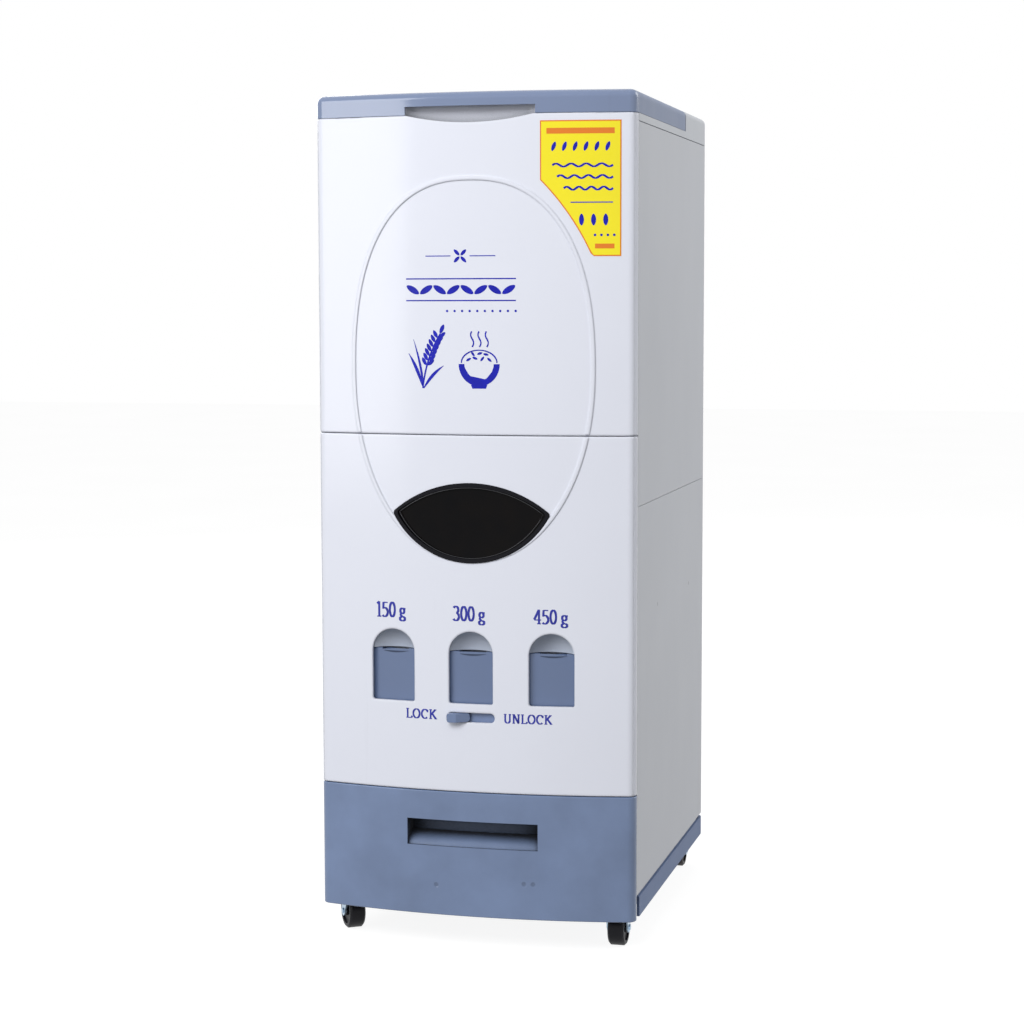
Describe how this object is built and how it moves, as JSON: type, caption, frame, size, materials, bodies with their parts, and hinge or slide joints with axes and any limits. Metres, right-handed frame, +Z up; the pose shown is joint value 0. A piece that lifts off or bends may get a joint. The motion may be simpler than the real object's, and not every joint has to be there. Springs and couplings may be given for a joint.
{
  "type": "rice storage box",
  "caption": "Tall wheeled rice storage box with a lift-up lid, viewing window, push-down portion levers with a lock slide, and a catch drawer with a recessed handle.",
  "frame": {"origin": "centre of the footprint at floor level, under the castors", "axes": "+Z up, front of the box towards -Y, +X to the right when seen from the front"},
  "size_m": [0.3528, 0.4574, 0.9225],
  "materials": {
    "front_panel": "glossy cool white moulded plastic",
    "side_panel": "smooth light grey moulded plastic",
    "trim_grey": "satin blue-grey moulded plastic",
    "frame_pale": "pale grey moulded plastic",
    "bezel_black": "glossy black plastic",
    "window_glass": "smoked clear plastic",
    "inner_plastic": "plain inner moulding",
    "zinc_steel": "blue-bright zinc-plated steel",
    "spring_steel": "spring wire",
    "castor_black": "black moulded wheel"
  },
  "bodies": {
    "cabinet": {"base_frame": "trim_grey", "left_lower_side": "side_panel", "right_lower_side": "side_panel", "left_upper_side": "side_panel", "right_upper_side": "side_panel", "lower_back_panel": "side_panel", "upper_back_panel": "side_panel", "lower_front_panel": "front_panel", "upper_front_panel": "front_panel", "top_frame": "frame_pale", "lid_hinge_pins": "zinc_steel", "hopper": "inner_plastic", "metering_body": "inner_plastic", "gate_shaft": "zinc_steel", "window_bezel": "bezel_black", "window_lens": "window_glass", "lever_guide": "frame_pale", "left_runner": "inner_plastic", "right_runner": "inner_plastic", "lever_spring_150": "spring_steel", "lever_spring_300": "spring_steel", "lever_spring_450": "spring_steel", "front_left_castor_plate": "zinc_steel", "front_right_castor_plate": "zinc_steel", "rear_left_castor_plate": "zinc_steel", "rear_right_castor_plate": "zinc_steel"},
    "lid": {"lid": "trim_grey"},
    "lock": {"lock_slide": "trim_grey"},
    "drawer": {"drawer_front": "trim_grey", "drawer_tray": "inner_plastic"},
    "lever_150": {"lever_150": "trim_grey"},
    "gate_150": {"gate_150": "inner_plastic"},
    "lever_300": {"lever_300": "trim_grey"},
    "gate_300": {"gate_300": "inner_plastic"},
    "lever_450": {"lever_450": "trim_grey"},
    "gate_450": {"gate_450": "inner_plastic"},
    "front_left_castor": {"front_left_fork": "zinc_steel", "front_left_axle": "zinc_steel"},
    "front_left_wheel": {"front_left_wheel": "castor_black"},
    "front_right_castor": {"front_right_fork": "zinc_steel", "front_right_axle": "zinc_steel"},
    "front_right_wheel": {"front_right_wheel": "castor_black"},
    "rear_left_castor": {"rear_left_fork": "zinc_steel", "rear_left_axle": "zinc_steel"},
    "rear_left_wheel": {"rear_left_wheel": "castor_black"},
    "rear_right_castor": {"rear_right_fork": "zinc_steel", "rear_right_axle": "zinc_steel"},
    "rear_right_wheel": {"rear_right_wheel": "castor_black"}
  },
  "joints": [
    {"name": "lid_hinge", "type": "hinge", "parent": "cabinet", "child": "lid", "pos_m": [0, 0.0914, 0.9193], "axis": [-1, 0, 0], "range_deg": [0, 95]},
    {"name": "lock_slide", "type": "slide", "parent": "cabinet", "child": "lock", "axis": [1, 0, 0], "range_m": [0, 0.024]},
    {"name": "drawer_slide", "type": "slide", "parent": "cabinet", "child": "drawer", "axis": [0, -1, 0], "range_m": [0, 0.26]},
    {"name": "lever_150_slide", "type": "slide", "parent": "cabinet", "child": "lever_150", "axis": [0, 0, -1], "range_m": [0, 0.025], "stiffness_N_per_m": 150, "springref_m": -0.03, "deforming": ["lever_spring_150"]},
    {"name": "gate_150_turn", "type": "hinge", "parent": "cabinet", "child": "gate_150", "pos_m": [-0.088, -0.128, 0.29], "axis": [1, 0, 0], "range_deg": [0, 25.19]},
    {"name": "lever_300_slide", "type": "slide", "parent": "cabinet", "child": "lever_300", "axis": [0, 0, -1], "range_m": [0, 0.025], "stiffness_N_per_m": 150, "springref_m": -0.03, "deforming": ["lever_spring_300"]},
    {"name": "gate_300_turn", "type": "hinge", "parent": "cabinet", "child": "gate_300", "pos_m": [0, -0.128, 0.29], "axis": [1, 0, 0], "range_deg": [0, 25.19]},
    {"name": "lever_450_slide", "type": "slide", "parent": "cabinet", "child": "lever_450", "axis": [0, 0, -1], "range_m": [0, 0.025], "stiffness_N_per_m": 150, "springref_m": -0.03, "deforming": ["lever_spring_450"]},
    {"name": "gate_450_turn", "type": "hinge", "parent": "cabinet", "child": "gate_450", "pos_m": [0.088, -0.128, 0.29], "axis": [1, 0, 0], "range_deg": [0, 25.19]},
    {"name": "front_left_swivel", "type": "hinge", "parent": "cabinet", "child": "front_left_castor", "pos_m": [-0.1494, -0.16635, 0.045], "axis": [0, 0, 1], "continuous": true},
    {"name": "front_left_roll", "type": "hinge", "parent": "front_left_castor", "child": "front_left_wheel", "pos_m": [-0.15571, -0.15734, 0.02], "axis": [0.8192, 0.5736, 0], "continuous": true},
    {"name": "front_right_swivel", "type": "hinge", "parent": "cabinet", "child": "front_right_castor", "pos_m": [0.1494, -0.16635, 0.045], "axis": [0, 0, 1], "continuous": true},
    {"name": "front_right_roll", "type": "hinge", "parent": "front_right_castor", "child": "front_right_wheel", "pos_m": [0.1494, -0.15535, 0.02], "axis": [1, 0, 0], "continuous": true},
    {"name": "rear_left_swivel", "type": "hinge", "parent": "cabinet", "child": "rear_left_castor", "pos_m": [-0.1494, 0.19665, 0.045], "axis": [0, 0, 1], "continuous": true},
    {"name": "rear_left_roll", "type": "hinge", "parent": "rear_left_castor", "child": "rear_left_wheel", "pos_m": [-0.14749, 0.20748, 0.02], "axis": [0.9848, -0.1736, 0], "continuous": true},
    {"name": "rear_right_swivel", "type": "hinge", "parent": "cabinet", "child": "rear_right_castor", "pos_m": [0.1494, 0.19665, 0.045], "axis": [0, 0, 1], "continuous": true},
    {"name": "rear_right_roll", "type": "hinge", "parent": "rear_right_castor", "child": "rear_right_wheel", "pos_m": [0.1494, 0.20765, 0.02], "axis": [1, 0, 0], "continuous": true}
  ],
  "couplings": [
    {"joint": "gate_150_turn", "follows": "lever_150_slide", "rad_per_m": 17.569},
    {"joint": "gate_300_turn", "follows": "lever_300_slide", "rad_per_m": 17.569},
    {"joint": "gate_450_turn", "follows": "lever_450_slide", "rad_per_m": 17.569}
  ]
}
